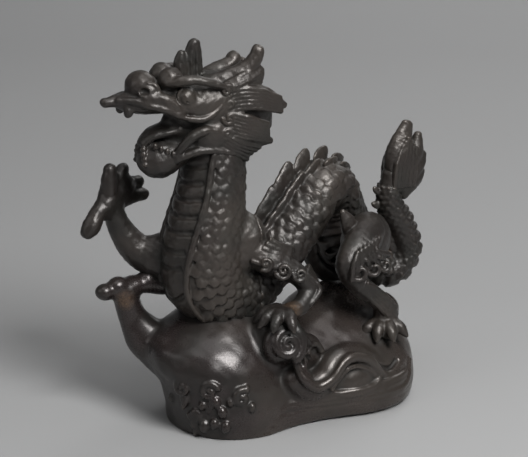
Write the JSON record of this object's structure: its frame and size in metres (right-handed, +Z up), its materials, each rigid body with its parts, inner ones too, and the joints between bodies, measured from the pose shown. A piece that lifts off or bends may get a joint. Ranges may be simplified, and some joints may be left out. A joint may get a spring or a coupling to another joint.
{
  "type": "dragon sculpture",
  "caption": "Small cast dragon that rises from a cloud and wave base, head turned forward, one claw raised and tail up.",
  "frame": {"origin": "middle of the overall box at the underside of the base", "axes": "+Z up, the dragon's head towards -X, its left side towards -Y"},
  "size_m": [0.118, 0.0534, 0.1201],
  "materials": {
    "patinated_bronze": "cast bronze with a dark brown patina, satin, worn to warm brown on the raised edges"
  },
  "bodies": {
    "root": {"dragon_on_cloud_base": "patinated_bronze"}
  },
  "joints": []
}
